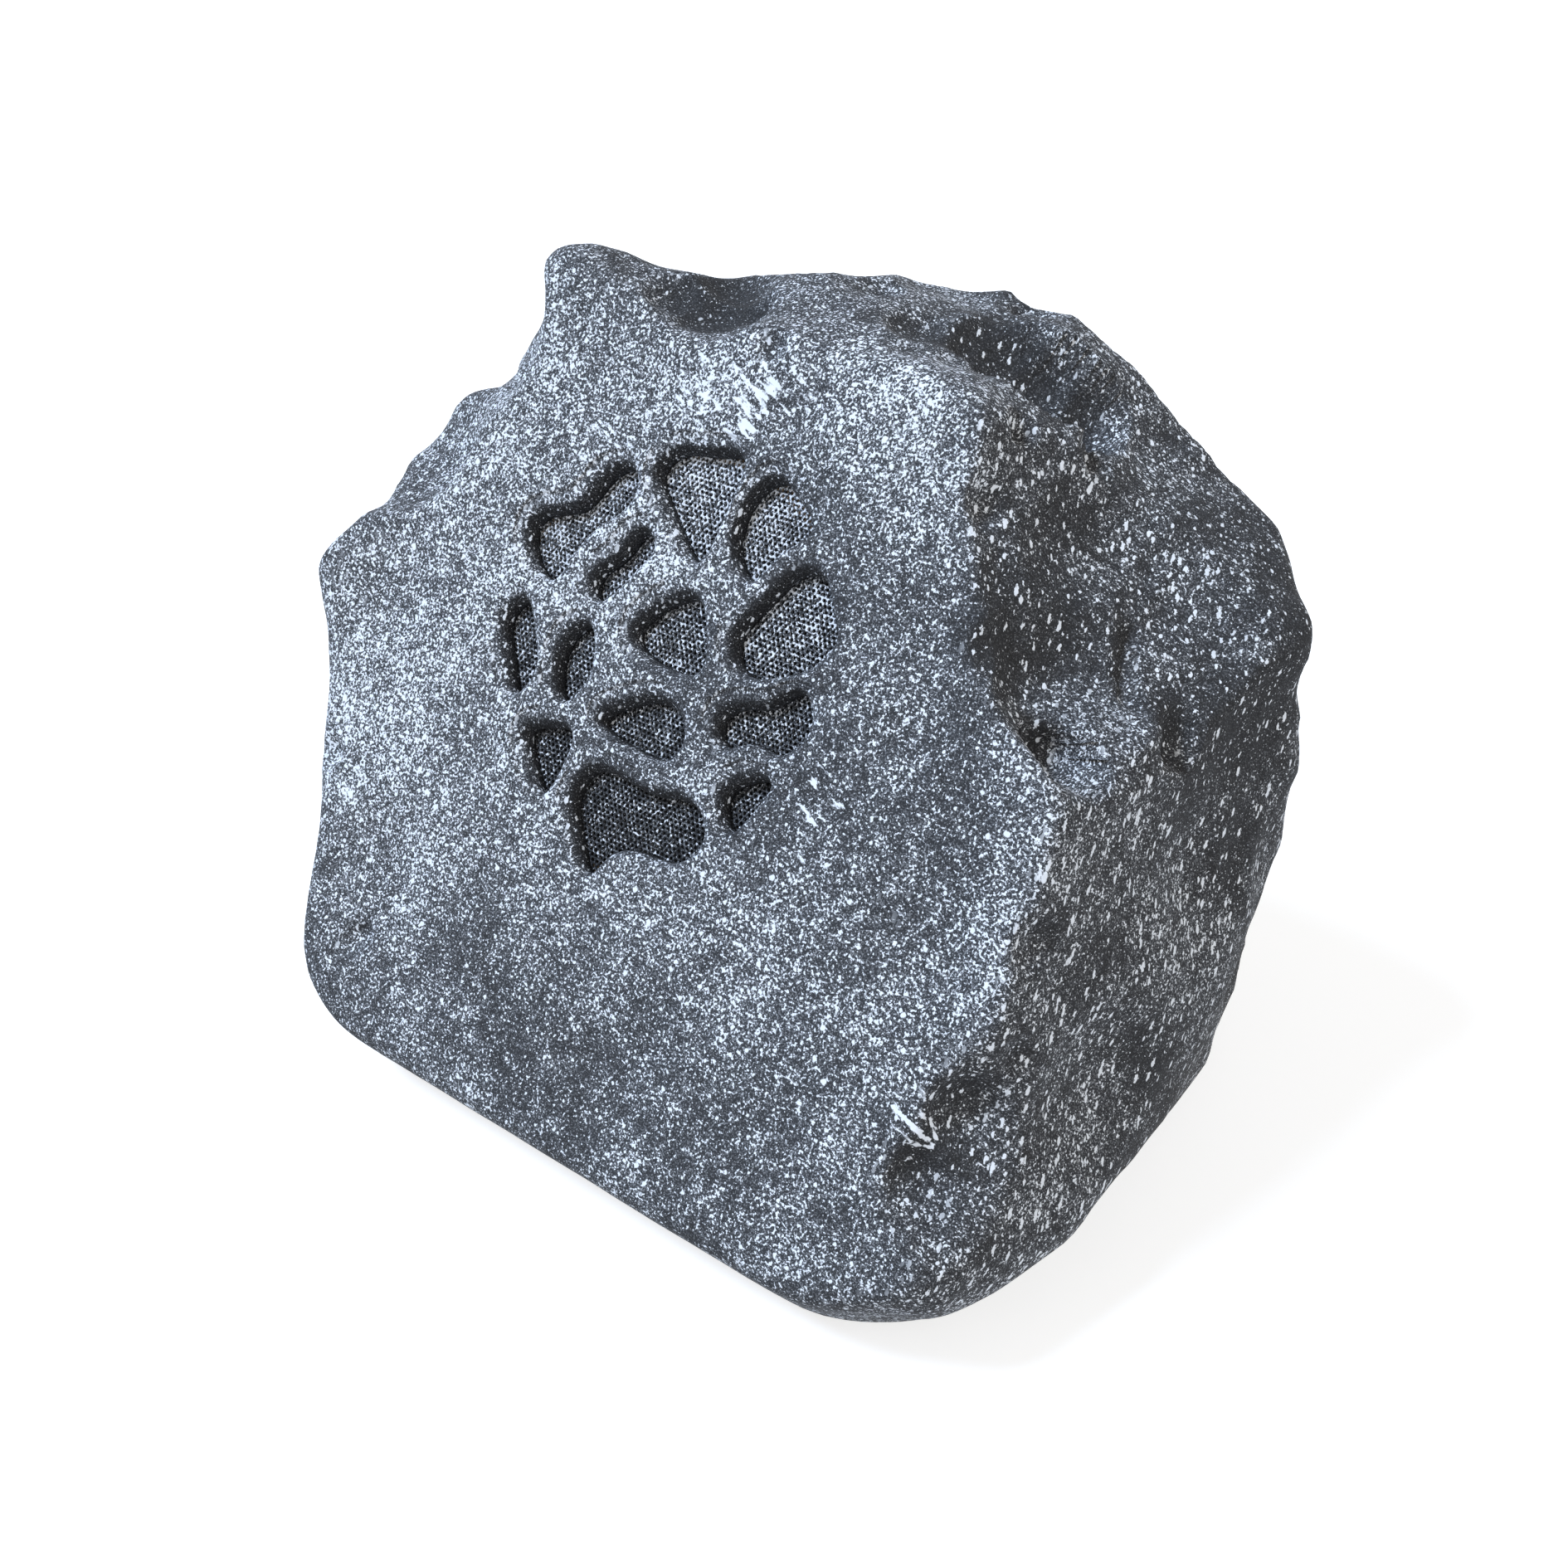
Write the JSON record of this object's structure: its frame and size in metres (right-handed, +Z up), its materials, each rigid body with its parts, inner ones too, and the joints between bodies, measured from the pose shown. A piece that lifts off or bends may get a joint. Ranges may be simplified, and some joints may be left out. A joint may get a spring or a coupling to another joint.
{
  "type": "rock shaped garden speaker",
  "caption": "Hollow rock shaped garden speaker: hewn resin shell with a web of sound openings over a perforated sheet and a round driver, on a screwed base with rubber feet.",
  "frame": {"origin": "on the ground, under the middle of the object's box", "axes": "+Z up, -Y towards the front with the sound openings, +X to the right seen from the front"},
  "size_m": [0.3674, 0.2918, 0.2762],
  "materials": {
    "speckled_resin": "granite speckle paint on moulded resin",
    "painted_sheet": "perforated steel, dark paint with pale overspray",
    "fibreboard": "sealed fibreboard",
    "zinc_screw": "zinc plated",
    "black_screw": "black oxide",
    "foam_gasket": "closed cell foam",
    "basket_steel": "black pressed steel",
    "motor_steel": "yellow passivated zinc",
    "ferrite": "ground ferrite",
    "coil_former": "thin rolled foil",
    "copper_wire": "enamelled copper winding",
    "cone_paper": "coated pulp",
    "roll_rubber": "butyl rubber",
    "spider_cloth": "resin dipped cloth",
    "terminal_strip": "phenolic strip with tinned tags",
    "base_plastic": "grained black plastic",
    "foot_rubber": "black rubber",
    "gland_nylon": "black nylon"
  },
  "bodies": {
    "enclosure": {"rock_shell": "speckled_resin", "grille_sheet": "painted_sheet", "baffle_ring": "fibreboard", "baffle_screws": "zinc_screw", "driver_gasket": "foam_gasket", "driver_basket": "basket_steel", "driver_screws": "black_screw", "top_plate": "motor_steel", "magnet_ring": "ferrite", "pole_yoke": "motor_steel", "surround": "roll_rubber", "spider": "spider_cloth", "terminal_board": "terminal_strip", "base_plate": "base_plastic", "base_gasket": "foam_gasket", "base_screws": "zinc_screw", "foot_front_left": "foot_rubber", "foot_front_right": "foot_rubber", "foot_back_left": "foot_rubber", "foot_back_right": "foot_rubber", "foot_screws": "zinc_screw", "gland_body": "gland_nylon", "gland_locknut": "gland_nylon", "gland_seal": "foot_rubber", "gland_cap": "gland_nylon"},
    "cone_assembly": {"cone": "cone_paper", "dust_cap": "cone_paper", "voice_coil_former": "coil_former", "voice_coil_winding": "copper_wire"}
  },
  "joints": [
    {"name": "cone_travel", "type": "slide", "parent": "enclosure", "child": "cone_assembly", "axis": [0, -0.8572, 0.515], "range_m": [-0.003, 0.003], "stiffness_N_per_m": 1500, "deforming": ["surround", "spider"]}
  ]
}
